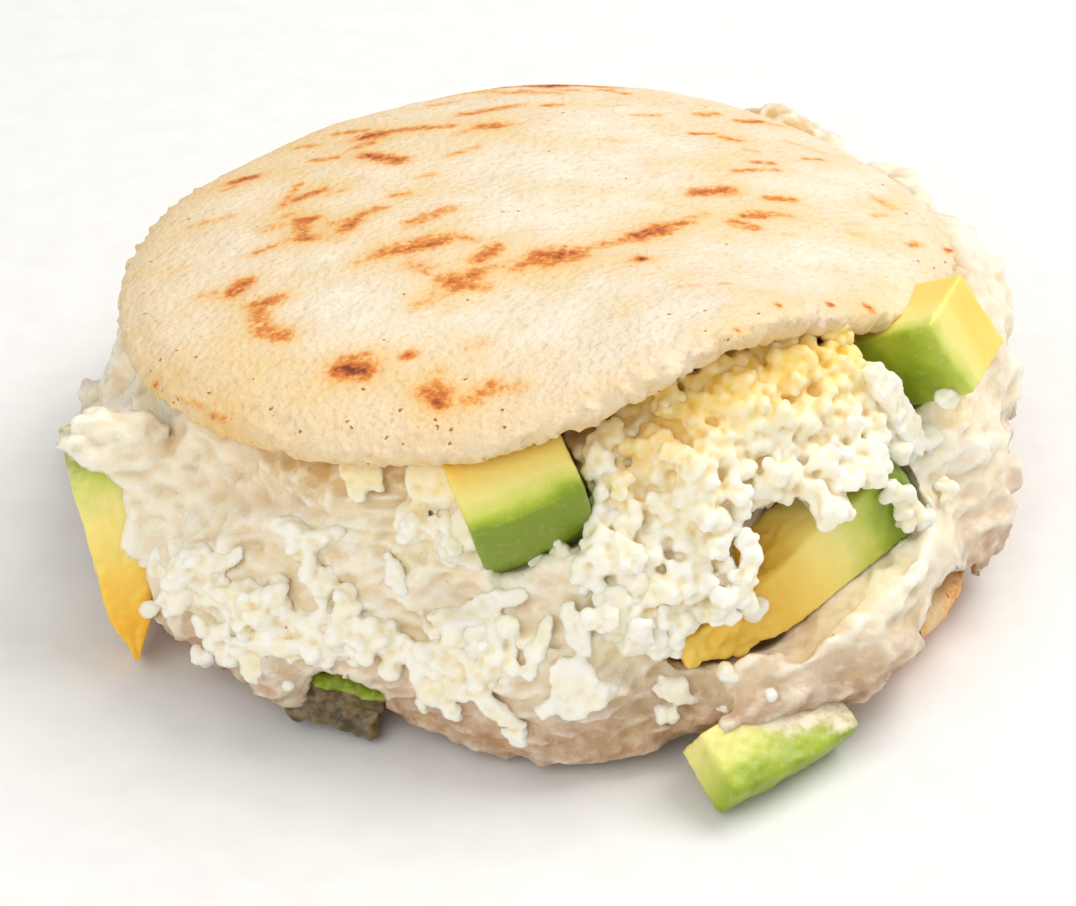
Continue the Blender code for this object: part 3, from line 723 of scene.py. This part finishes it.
def whole_filling(px, py):
    """The place and normal of the outermost filling behind a point of the picture."""
    start, way = sight(px, py)
    found = [tree.ray_cast(start, way) for tree in (salad_shape, cheese_shape, *chunk_skins.values())]
    hits = [hit for hit in found if hit[0] is not None]
    return min(hits, key=lambda hit: hit[3])[:2] if hits else (None, None)


def free(place, margin):
    """True where a lump of this size would touch neither avocado nor lid."""
    front = place + 4.0 * MM * BACK
    near_chunk = min(min(away(skin, place), away(skin, front)) for skin in chunk_skins.values())
    return near_chunk > margin and away(lid_shape, place) > margin


def strand(bm, matrix, length, width, thick, bend, draw):
    """A strand of meat or shred of cheese: a bent bar, thin at its ends, with uneven sides."""
    bar = bmesh.new()
    bmesh.ops.create_cube(bar, size=1.0)
    long_edges = [edge for edge in bar.edges if abs(edge.verts[0].co.x - edge.verts[1].co.x) > 0.5]
    bmesh.ops.subdivide_edges(bar, edges=long_edges, cuts=6, use_grid_fill=True)
    shift = draw.uniform(0, 90)
    for vert in bar.verts:
        x, y, z = vert.co
        slim = (1.0 - 1.9 * x * x) * (1.0 + 0.45 * noise.noise(Vector((5 * x + shift, 3 * y, 3 * z))))
        arc = length * x * x
        vert.co = (x * length, y * width * slim + bend * arc, z * thick * slim - 0.35 * abs(bend) * arc)
    bmesh.ops.transform(bar, matrix=matrix, verts=bar.verts)
    mesh = mesh_of(bar, "strand")
    bm.from_mesh(mesh)
    bpy.data.meshes.remove(mesh)


def paint_glow(bm, reach_mm, start_mm, end_mm, least):
    """Stores how near the filling is to the lid, where warm light and shade are painted, growing from x start
    to end.
    """
    paint(bm, "glow", lambda vert: fade(reach_mm, 1.0, away(lid_shape, vert.co))
          * (least + (1.0 - least) * fade(start_mm, end_mm, vert.co.x)))


# %% [markdown]
# ## Where the filling gives way
# In three places the picture shows something else before the filling: the torn hollow of the avocado slice,
# the edges of the lower half and of the low chunk, and the side of the left chunk.
# Along lines of sight through points there, the filling is pressed back, or drawn in beside the left chunk.

# %% Lines of sight through the filling
BARE_SPOTS = (   # x, y in the picture and reach in mm: here the slice shows its torn hollow
    (760, 545, 3), (775, 535, 3), (795, 525, 3), (812, 528, 2), (768, 570, 3), (790, 560, 4), (755, 600, 2.6),
    (775, 590, 3.6), (735, 628, 2.6), (710, 640, 2.2), (755, 620, 3), (826, 545, 2.6), (864, 490, 1.6),
    (868, 512, 1.6), (850, 535, 2),
)
OPENINGS = (   # x, y in the picture and reach in mm: the lower half and the low chunk's green edge show here
    (960, 586, 1.8), (952, 602, 2.2), (945, 618, 2), (936, 632, 1.6), (322, 684, 1.3), (333, 688, 1.4),
    (344, 692, 1.4), (356, 696, 1.4), (367, 700, 1.3), (377, 704, 1),
)
TUCKED = ((60, 500), (58, 520), (58, 540), (62, 560), (72, 580), (84, 598))   # beside the left chunk

bare_lines = [(*sight(x, y), reach * MM) for x, y, reach in BARE_SPOTS]
open_lines = [(*sight(x, y), reach * MM) for x, y, reach in OPENINGS]
tucked_lines = [sight(x, y) for x, y in TUCKED]
wedge_middle = Vector(CHUNKS["avocado_wedge"][0]) * MM
print(len(bare_lines), "lines to the hollow and", len(open_lines), "to the openings")


def on_lines(place, lines, wide, narrow):
    """1 within narrow reaches of one of the lines of sight, 0 beyond wide reaches of them all."""
    return max(smoothstep(wide * reach, narrow * reach, (place - start).cross(way).length)
               for start, way, reach in lines)


def baring(place):
    """1 on the lines of sight to the hollow, 0 well beside them and behind the slice."""
    ahead = fade(-3, 0, (place - wedge_middle).dot(BACK))
    return on_lines(place, bare_lines, 1.35, 0.9) * ahead * fade(30, 24, (place - wedge_middle).length)


def opened(place):
    """1 on the lines of sight through an opening, 0 beside them."""
    return on_lines(place, open_lines, 1.2, 0.7)


def press_back(bm, rule, depth):
    """Presses the filling away from the camera where the rule is above 0."""
    for vert in bm.verts:
        vert.co -= depth * rule(vert.co) * BACK


def tuck_in(bm):
    """Draws the salad in, so that it doesn't stick out beyond the left chunk."""
    for vert in bm.verts:
        near = min((vert.co - start).cross(way).length for start, way in tucked_lines)
        vert.co.x += 4.5 * MM * fade(5.0, 1.5, near)


# %% [markdown]
# ## The chicken salad
# Torn chicken is folded into avocado and mayonnaise, and the cream hides most of the meat.
# What shows is a heap of soft folds, small lumps and ends of strands, whiter on top and peach lower down,
# where the peach is partly meat and partly painted shade.
# Lumps and strands are joined to a copy of the solid, and the remesh melts them in.

# %% Lumps and strands
SALAD_LUMPS = 420
SALAD_STRANDS = 620


def salad_lumps(bm, draw):
    """Soft lumps of cream and meat round the wall, more than half sunk, but none behind the left chunk."""
    for k in range(SALAD_LUMPS):
        place, normal = on_wall(salad_shape, math.tau * spread(k), draw.uniform(-4, 30) * MM)
        radius = draw.uniform(1.3, 3.6) * MM
        behind_chunk = 0.51 < spread(k) < 0.59
        if place is None or opened(place) or behind_chunk or not free(place, 0.8 * radius + 0.6 * MM):
            continue
        radii = (radius * draw.uniform(1.0, 1.7), radius, radius * draw.uniform(0.45, 0.8))
        lump(bm, seat(place, normal, draw.uniform(-60, 60), 0.62 * radii[2]), radii)


def salad_strands(bm, draw):
    """Strands of chicken on the wall. Returns points along them, which tint the cream there."""
    marks = []
    for k in range(SALAD_STRANDS):
        low = k % 4 == 0
        height = draw.uniform(-6, 6) if low else draw.uniform(2, 30)
        place, normal = on_wall(salad_shape, math.tau * spread(k), height * MM)
        length, width = draw.triangular(3, 13, 4.5) * MM, draw.triangular(0.8, 2.3, 1.1) * MM
        lean, bend = draw.gauss(0, 26), draw.uniform(-0.3, 0.3)
        if place is None or opened(place) or not free(place, 0.42 * length):
            continue
        matrix = seat(place, normal, lean, 0.25 * width)
        ends = [matrix @ Vector((side * length, 0.0, 0.0)) for side in (-0.5, 0.5)]
        if max(away(salad_shape, end) for end in ends) > 0.9 * MM:
            continue
        strand(bm, matrix, length, width, 0.8 * width, bend, draw)
        marks += [matrix @ Vector((share * length, 0.0, 0.0)) for share in (-0.35, -0.12, 0.12, 0.35)]
    return marks


# %% [markdown]
# The cream's folds come from a noise that is squashed in height and turned over at its zero line, which gives
# ridges along the wall.

# %% Folds
def salad_relief(place, normal):
    """Folds of cream: ridges that run along the wall, over broad lumps and fine grain."""
    flow = Vector((place.x, place.y, 2.1 * place.z))
    broad = 0.70 * swell(flow, 10)
    fold = 1.25 * (0.40 - abs(noise.noise(flow / (6.0 * MM) + Vector((9, 4, 2)))))
    ridge = 1.35 * (0.22 - abs(noise.noise(flow / (3.6 * MM) + Vector((3, 7, 1)))))
    rough = 1.0 - 0.4 * fade(12, 42, place.x - 0.4 * place.y - 14 * MM)
    relief = (broad + fold + rough * (ridge + 0.26 * swell(flow, 1.7)) - 0.50) * MM
    return relief * fade(0.3, 2.0, away(lid_shape, place))


# %% [markdown]
# In the picture, cream lies over the ends of some chunks and drips from under the rim.
# Overlapping lumps are laid along each such edge, and the remesh makes one soft layer of them.

# %% Cream over the chunks
COVERS = (  # x, y in the picture, radius in mm
    (66, 446, 1.2), (71, 436, 1.6), (80, 446, 2), (90, 450, 2.2), (104, 456, 2.4), (120, 464, 2.5),
    (136, 473, 2.6), (86, 431, 2.2), (98, 436, 2.4), (112, 440, 2.6), (128, 448, 3), (146, 460, 3),
    (96, 417, 2.2), (112, 420, 2.6), (128, 424, 2.8), (142, 432, 2.8), (146, 488, 2.8), (144, 508, 2.6),
    (142, 530, 2.5), (149, 550, 2.5), (155, 568, 2.5), (163, 588, 2.4), (173, 611, 2.4), (178, 626, 2),
    (448, 488, 2.6), (455, 506, 3.2), (460, 524, 3.2), (467, 544, 3), (474, 560, 2.2), (486, 574, 1.8),
    (694, 718, 2.4), (704, 714, 2.8), (720, 711, 2.8), (737, 708, 2.8), (755, 706, 2.8), (774, 703, 2.8),
    (794, 700, 2.6), (814, 697, 2.4), (834, 692, 2.2), (706, 728, 1.6), (728, 721, 1.6), (750, 717, 1.4),
    (786, 711, 1.6), (290, 690, 2.4), (275, 680, 2.4), (900, 548, 2.2), (885, 575, 2.2), (868, 600, 2.2),
    (850, 625, 2.2), (835, 645, 2.2), (915, 575, 2), (895, 605, 2), (875, 630, 2), (856, 655, 2),
    (812, 668, 2),
)


def salad_covers(bm, draw):
    """Lumps where the picture shows cream lying over something."""
    for x, y, radius in COVERS:
        place, normal = whole_filling(x, y)
        if place is not None:
            radii = [radius * MM * share for share in (draw.uniform(1.0, 1.3), 1.0, 0.50)]
            lump(bm, seat(place, normal, draw.uniform(-40, 40)), radii)


# %% [markdown]
# The cream is warm white and yellow-green where avocado is mashed in, and peach over meat and towards the
# table, where the peach is partly painted shade.
# Painted shade darkens the creases, a painted highlight whitens the ridges, and a painted warm shade lies
# under the rim.
# Light sinks into mayonnaise, so the shader scatters it under the surface, and its gloss is soft.

# %% Salad material
finish, add, place, hollow, meat, glow = new_material("mayonnaise_dressed_chicken", "hollow", "meat", "glow")
cloud = add("TexNoise", place, per(7), 4.0, 0.6)
cream = add("ValToRGB", cloud, stops=((0.32, "#F5E7C8"), (0.50, "#F9EFD8"), (0.66, "#FCF7E8")))
mash = add("TexNoise", place, per(11), 2.0)
green = add("MapRange", mash, 0.56, 0.72, 0.0, 0.50)
mashed = add("Mix", green, cream, "#E8DFA0")
height = add("SeparateXYZ", Vector=place)
lean = add("Math", height, -0.03, height.outputs["Z"], operation="MULTIPLY_ADD")
# The band near the table is darker peach: partly the meat's colour and partly painted shade.
low = add("MapRange", lean, 18 * MM, 5 * MM, interpolation_type="SMOOTHSTEP")
bits = add("TexNoise", place, per(3.2), 4.0, 0.6)
bare = add("MapRange", bits, 0.38, 0.60, 0.62)
low_meat_and_painted_shade = add("Math", low, bare, operation="MULTIPLY")
peach = add("Mix", low_meat_and_painted_shade, mashed, "#9E6A3C")
strand_tint = add("Math", meat, 0.30, operation="MULTIPLY")
meaty = add("Mix", strand_tint, peach, "#E3C29A")
# Painted shade: the creases are painted darker.
crease = add("MapRange", hollow, 0.0, 0.9, 0.0, 0.50)
shaded = add("Mix", crease, meaty, "#E0C490")
# Painted warm shade where the salad lies under the lid.
trapped = add("Math", glow, 0.95, operation="MULTIPLY")
warm = add("Mix", trapped, shaded, "#D2A659")
# Painted highlight: the ridges are painted whiter, less so in the band near the table.
crest = add("MapRange", hollow, -0.1, -0.8, 0.0, 0.75)
clean = add("Math", low_meat_and_painted_shade, -0.75, 1.0, operation="MULTIPLY_ADD")
thick = add("Math", crest, clean, operation="MULTIPLY")
colour = add("Mix", thick, warm, "#FBF4E4")
grain = add("TexNoise", place, per(1.4), 4.0, 0.6)
bump = add("Bump", Height=grain, Strength=0.60, Distance=0.45 * MM)
salad = moist_surface(finish, colour, bump, 0.30, 0.25, (1.0, 0.75, 0.50), 1.4)

# %% The salad
draw = random.Random(11)
bm = merged_copy("chicken_salad")
salad_covers(bm, draw)
salad_lumps(bm, draw)
meat = tree_of(salad_strands(bm, draw))
bm = reskinned(bm, 0.72 * MM, rounds=2)
push(bm, salad_relief)
press_back(bm, baring, 14.0 * MM)
press_back(bm, opened, 7.5 * MM)
tuck_in(bm)
for vert in bm.verts:
    vert.co.z = max(vert.co.z, 0.3 * MM)
paint_hollows(bm, 8)
# where the painted warm shade under the lid falls
paint_glow(bm, 9, -40, -26, 0.15)
paint(bm, "meat", lambda vert: fade(2.6, 0.8, meat.find(vert.co)[2]))
show("salad_heap", bm, salad, "salad", "chicken_salad")

# %% [markdown]
# ## The grated cheese
# Fresh white cheese falls from a coarse grater as curds, which are clumps of lobes of 1 to 2 mm, and a few
# long shreds.
# Separate balls would look like balls, so a fine remesh joins the lobes of a clump and leaves the creases.

# %% Cheese material
finish, add, place, hollow, glow = new_material("grated_fresh_cheese", "hollow", "glow")
cloud = add("TexNoise", place, per(4), 3.0)
milk = add("ValToRGB", cloud, stops=((0.35, "#FAF1D4"), (0.65, "#FFFCF0")))
# Painted shade: the creases between the lobes are painted yellow.
crease = add("MapRange", hollow, 0.0, 0.8, 0.0, 0.70)
painted_crease_shade = add("Mix", crease, milk, "#E7C05C")
# Painted highlight: the crests are painted nearly white.
crest = add("MapRange", hollow, -0.1, -0.7, 0.0, 0.7)
painted_crest_highlight = add("Mix", crest, painted_crease_shade, "#FDFCF6")
# Painted warm glow where the cheese lies near the lid, most in the hollows.
trapped = add("MapRange", hollow, -0.8, 0.5, 0.45)
painted_glow = add("Math", glow, trapped, operation="MULTIPLY")
colour = add("Mix", painted_glow, painted_crest_highlight, "#FFD646")
grain = add("TexNoise", place, per(0.7), 4.0, 0.65)
bump = add("Bump", Height=grain, Strength=0.55, Distance=0.25 * MM)
cheese = moist_surface(finish, colour, bump, 0.50, 0.35, (1.0, 0.85, 0.55), 1.5)


# %% Curds
def curd(bm, place, normal, size, draw):
    """A clump of lobes, size across, on a core, a little flatter than wide."""
    matrix = seat(place, normal, draw.uniform(-90, 90))
    long, wide, tall = 0.5 * size, 0.5 * size * draw.uniform(0.55, 0.85), 0.5 * size * draw.uniform(0.5, 0.75)
    lump(bm, matrix, (0.72 * long, 0.72 * wide, 0.72 * tall))
    for _ in range(int(4 + 1.7 * size / MM)):
        way = Vector([draw.gauss(0, 1) for _ in range(3)]).normalized()
        radius = draw.triangular(0.42, 1.45, 0.75) * MM
        middle = Vector((way.x * long, way.y * wide, way.z * tall)) * draw.uniform(0.75, 1.0)
        lump(bm, matrix @ Matrix.Translation(middle), [radius * draw.uniform(0.8, 1.2) for _ in range(3)])


def show_cheese(name, bm, voxel, rounds, glow, *nodes):
    """Reskins the clumps, roughens them and shows them."""
    bm = reskinned(bm, voxel, rounds=1)
    push(bm, lambda place, normal: (0.32 * swell(place, 1.3) + 0.14 * swell(place, 0.7)) * MM)
    paint_hollows(bm, rounds)
    paint_glow(bm, *glow)
    show(name, bm, cheese, "cheese", *nodes)


# %% [markdown]
# The heap starts from the cheese solid, drawn in a little, and curds of 1 to 6 mm cover its outside.
# The first third of them sits deeper, so that no core shows between the others.

# %% The cheese heap
HEAP_CURDS = 3600


def heap_curds(bm, draw):
    """Curds on the front of the heap, apart from the others of their layer. Most tries find no room."""
    taken = []
    for k in range(HEAP_CURDS):
        sunk = k < HEAP_CURDS // 3
        angle = math.radians(-88 + 66 * spread(k))
        place, normal = on_wall(cheese_shape, angle, draw.uniform(4, 50) * MM)
        if place is None or baring(place) > 0.0:
            continue
        size = draw.triangular(1.3, 6.0, 2.2) * MM
        nearest = min(away(skin, place) for skin in chunk_skins.values())
        if nearest < 0.2 * size or away(lid_shape, place) < 0.4 * MM:
            continue
        if any(sunk == under and (place - other).length < 0.40 * (size + reach)
               for other, reach, under in taken):
            continue
        taken.append((place, size, sunk))
        curd(bm, place - normal * (draw.uniform(0.0, 0.30) * size + 0.8 * MM * sunk), normal, size, draw)
    print(len(taken), "curds on the heap")


bm = reskinned(merged_copy("grated_cheese"), 0.8 * MM)
push(bm, lambda place, normal: -1.2 * MM * fade(1.2, 2.6, away(salad_shape, place)))
press_back(bm, baring, 14.0 * MM)
heap_curds(bm, random.Random(5))
show_cheese("cheese_heap", bm, 0.34 * MM, 12, (15, -10, 0, 1.0), "grated_cheese")

# %% [markdown]
# ## Curds and shreds on the salad
# More cheese fell on the front of the salad, on the slice of avocado and to the right of the heap.
# The larger curds and shreds are where the picture shows them, with small crumbs strewn between them.

# %% Curds and shreds that the picture shows
CURDS = (   # x, y in the picture, size in mm
    (308, 540, 6.5), (292, 530, 4.5), (325, 532, 4), (232, 596, 6), (252, 610, 7), (275, 600, 6),
    (262, 628, 5), (222, 631, 3.6), (322, 576, 4.2), (326, 592, 3.6), (345, 628, 5), (368, 640, 5.5),
    (392, 636, 5), (330, 645, 5), (310, 630, 4.5), (408, 528, 5), (424, 532, 4), (451, 530, 5),
    (452, 548, 3.6), (605, 612, 4.8), (590, 572, 5.6), (624, 556, 5), (632, 575, 4), (668, 634, 5),
    (455, 640, 5), (490, 645, 5.5), (440, 682, 5), (462, 690, 4), (540, 560, 3), (598, 694, 3),
    (905, 505, 6.5), (893, 490, 5), (922, 520, 4.2), (927, 440, 4.2), (940, 493, 3.6), (948, 392, 2.8),
    (180, 580, 4), (200, 560, 4), (560, 545, 3.4), (205, 655, 3.2), (420, 500, 2.8), (642, 590, 3.6),
    (505, 628, 4), (500, 664, 4), (430, 650, 5), (470, 662, 5), (445, 628, 4.6), (472, 642, 5),
    (486, 676, 4.4), (452, 668, 4.6), (428, 672, 4.2), (464, 690, 3.6), (478, 620, 3.8), (350, 600, 3.6),
    (600, 452, 4), (612, 440, 4.4), (630, 424, 4.6), (650, 410, 4.6), (668, 398, 4.6), (686, 388, 4.6),
    (706, 376, 4.6), (728, 364, 4.6), (750, 352, 4.4), (772, 344, 4.4), (794, 338, 4.4), (816, 334, 4.2),
    (836, 334, 4), (602, 474, 4.4), (606, 496, 4.4), (604, 518, 4.4), (600, 540, 4.4), (594, 552, 4),
    (748, 560, 3.4), (746, 545, 3), (742, 578, 3.6), (738, 596, 3.8), (724, 606, 3.4), (752, 606, 2.8),
    (666, 612, 4), (674, 630, 4.4), (664, 640, 3.2), (682, 622, 3.2),
)
SHREDS = (  # x, y to x, y in the picture, width and thickness in mm, bend
    (172, 604, 206, 562, 3.4, 1.4, 0.5), (206, 566, 240, 558, 3, 1.2, 0.2),
    (238, 640, 306, 646, 2.6, 1.2, 0.15), (300, 622, 350, 652, 3.6, 1.2, 0.2),
    (533, 672, 550, 622, 1.9, 1.2, 0.1), (570, 608, 585, 646, 2.7, 1.2, 0.1), (571, 662, 574, 708, 5.6, 2, 0),
    (478, 692, 516, 722, 2.3, 1.3, 0.35), (436, 622, 506, 626, 3, 1, 0.3),
    (486, 600, 522, 594, 2.2, 1.4, 0.1), (866, 372, 912, 446, 4, 3, 0.05), (628, 642, 641, 622, 3.6, 2.4, 0),
    (390, 560, 402, 590, 2.2, 1, 0.2), (655, 690, 690, 700, 1.8, 0.9, 0.2), (350, 458, 359, 496, 2.8, 2, 0.1),
    (416, 464, 424, 500, 2.6, 2, 0.1), (435, 464, 446, 498, 4.2, 2.8, 0.1),
    (372, 468, 377, 484, 2.2, 1.6, 0.1),
)


def placed_cheese(bm, draw):
    for x, y, size in CURDS:
        place, normal = whole_filling(x, y)
        curd(bm, place + 0.10 * size * MM * normal, normal, size * MM, draw)
    for x0, y0, x1, y1, width, thick, bend in SHREDS:
        (start, normal), (end, _) = whole_filling(x0, y0), whole_filling(x1, y1)
        line = end - start
        out = (normal - normal.project(line)).normalized()
        along = line.normalized()
        matrix = set_down((start + end) / 2 + 0.8 * MM * out, along, out.cross(along), out)
        strand(bm, matrix, line.length + 2.0 * MM, width * MM, thick * MM, bend, draw)


# %% Crumbs between them
CRUMBS = 1100


def strewn_cheese(bm, draw):
    """Crumbs in clusters on the upper left of the front, and a few alone, but not below the centre chunk."""
    taken = []
    for k in range(CRUMBS):
        angle = math.radians(-64 - 80 * spread(k))
        place, normal = on_wall(salad_shape, angle, draw.uniform(-2, 16) * MM)
        size = draw.triangular(1.6, 5.5, 2.4) * MM if k % 5 else draw.uniform(0.9, 2.0) * MM
        if place is None or not free(place, 0.4 * size) or opened(place):
            continue
        dense = noise.noise(place / (8 * MM) + Vector((2, 8, 5))) > 0.10
        clustered = dense and place.z > 9 * MM and place.x < -3 * MM
        crowded = any((place - other).length < 0.42 * (size + reach) for other, reach in taken)
        lone = k % 10 == 0 and place.z > 7 * MM and not 2 * MM < place.x < 14 * MM
        if (clustered or lone) and not crowded:
            taken.append((place, size))
            curd(bm, place - 0.05 * size * normal, normal, size, draw)
    print(len(taken), "crumbs strewn")


draw = random.Random(3)
bm = bmesh.new()
placed_cheese(bm, draw)
strewn_cheese(bm, draw)
show_cheese("cheese_scatter", bm, 0.36 * MM, 10, (7, 4, 14, 0.45))

# %% [markdown]
# ## Avocado in the salad
# Where avocado was folded in, small bits of it show through the cream.

# %% Bits of avocado
BITS = ((881, 641, 0.9), (344, 612, 1.0))   # x, y in the picture, radius in mm

draw = random.Random(9)
bm = bmesh.new()
for x, y, radius in BITS:
    place, normal = whole_filling(x, y)
    radii = [radius * MM * share for share in (draw.uniform(1.0, 1.4), 1.0, 0.8)]
    lump(bm, seat(place, normal, draw.uniform(-60, 60)), radii)
push(bm, lambda place, normal: 0.6 * MM * swell(place, 0.9))
paint(bm, "skin_depth", lambda vert: 0.02 + 0.10 * swell(vert.co, 2))
paint(bm, "dressed", lambda vert: 0.40)
show("avocado_bits", bm, avocado, "avocado")
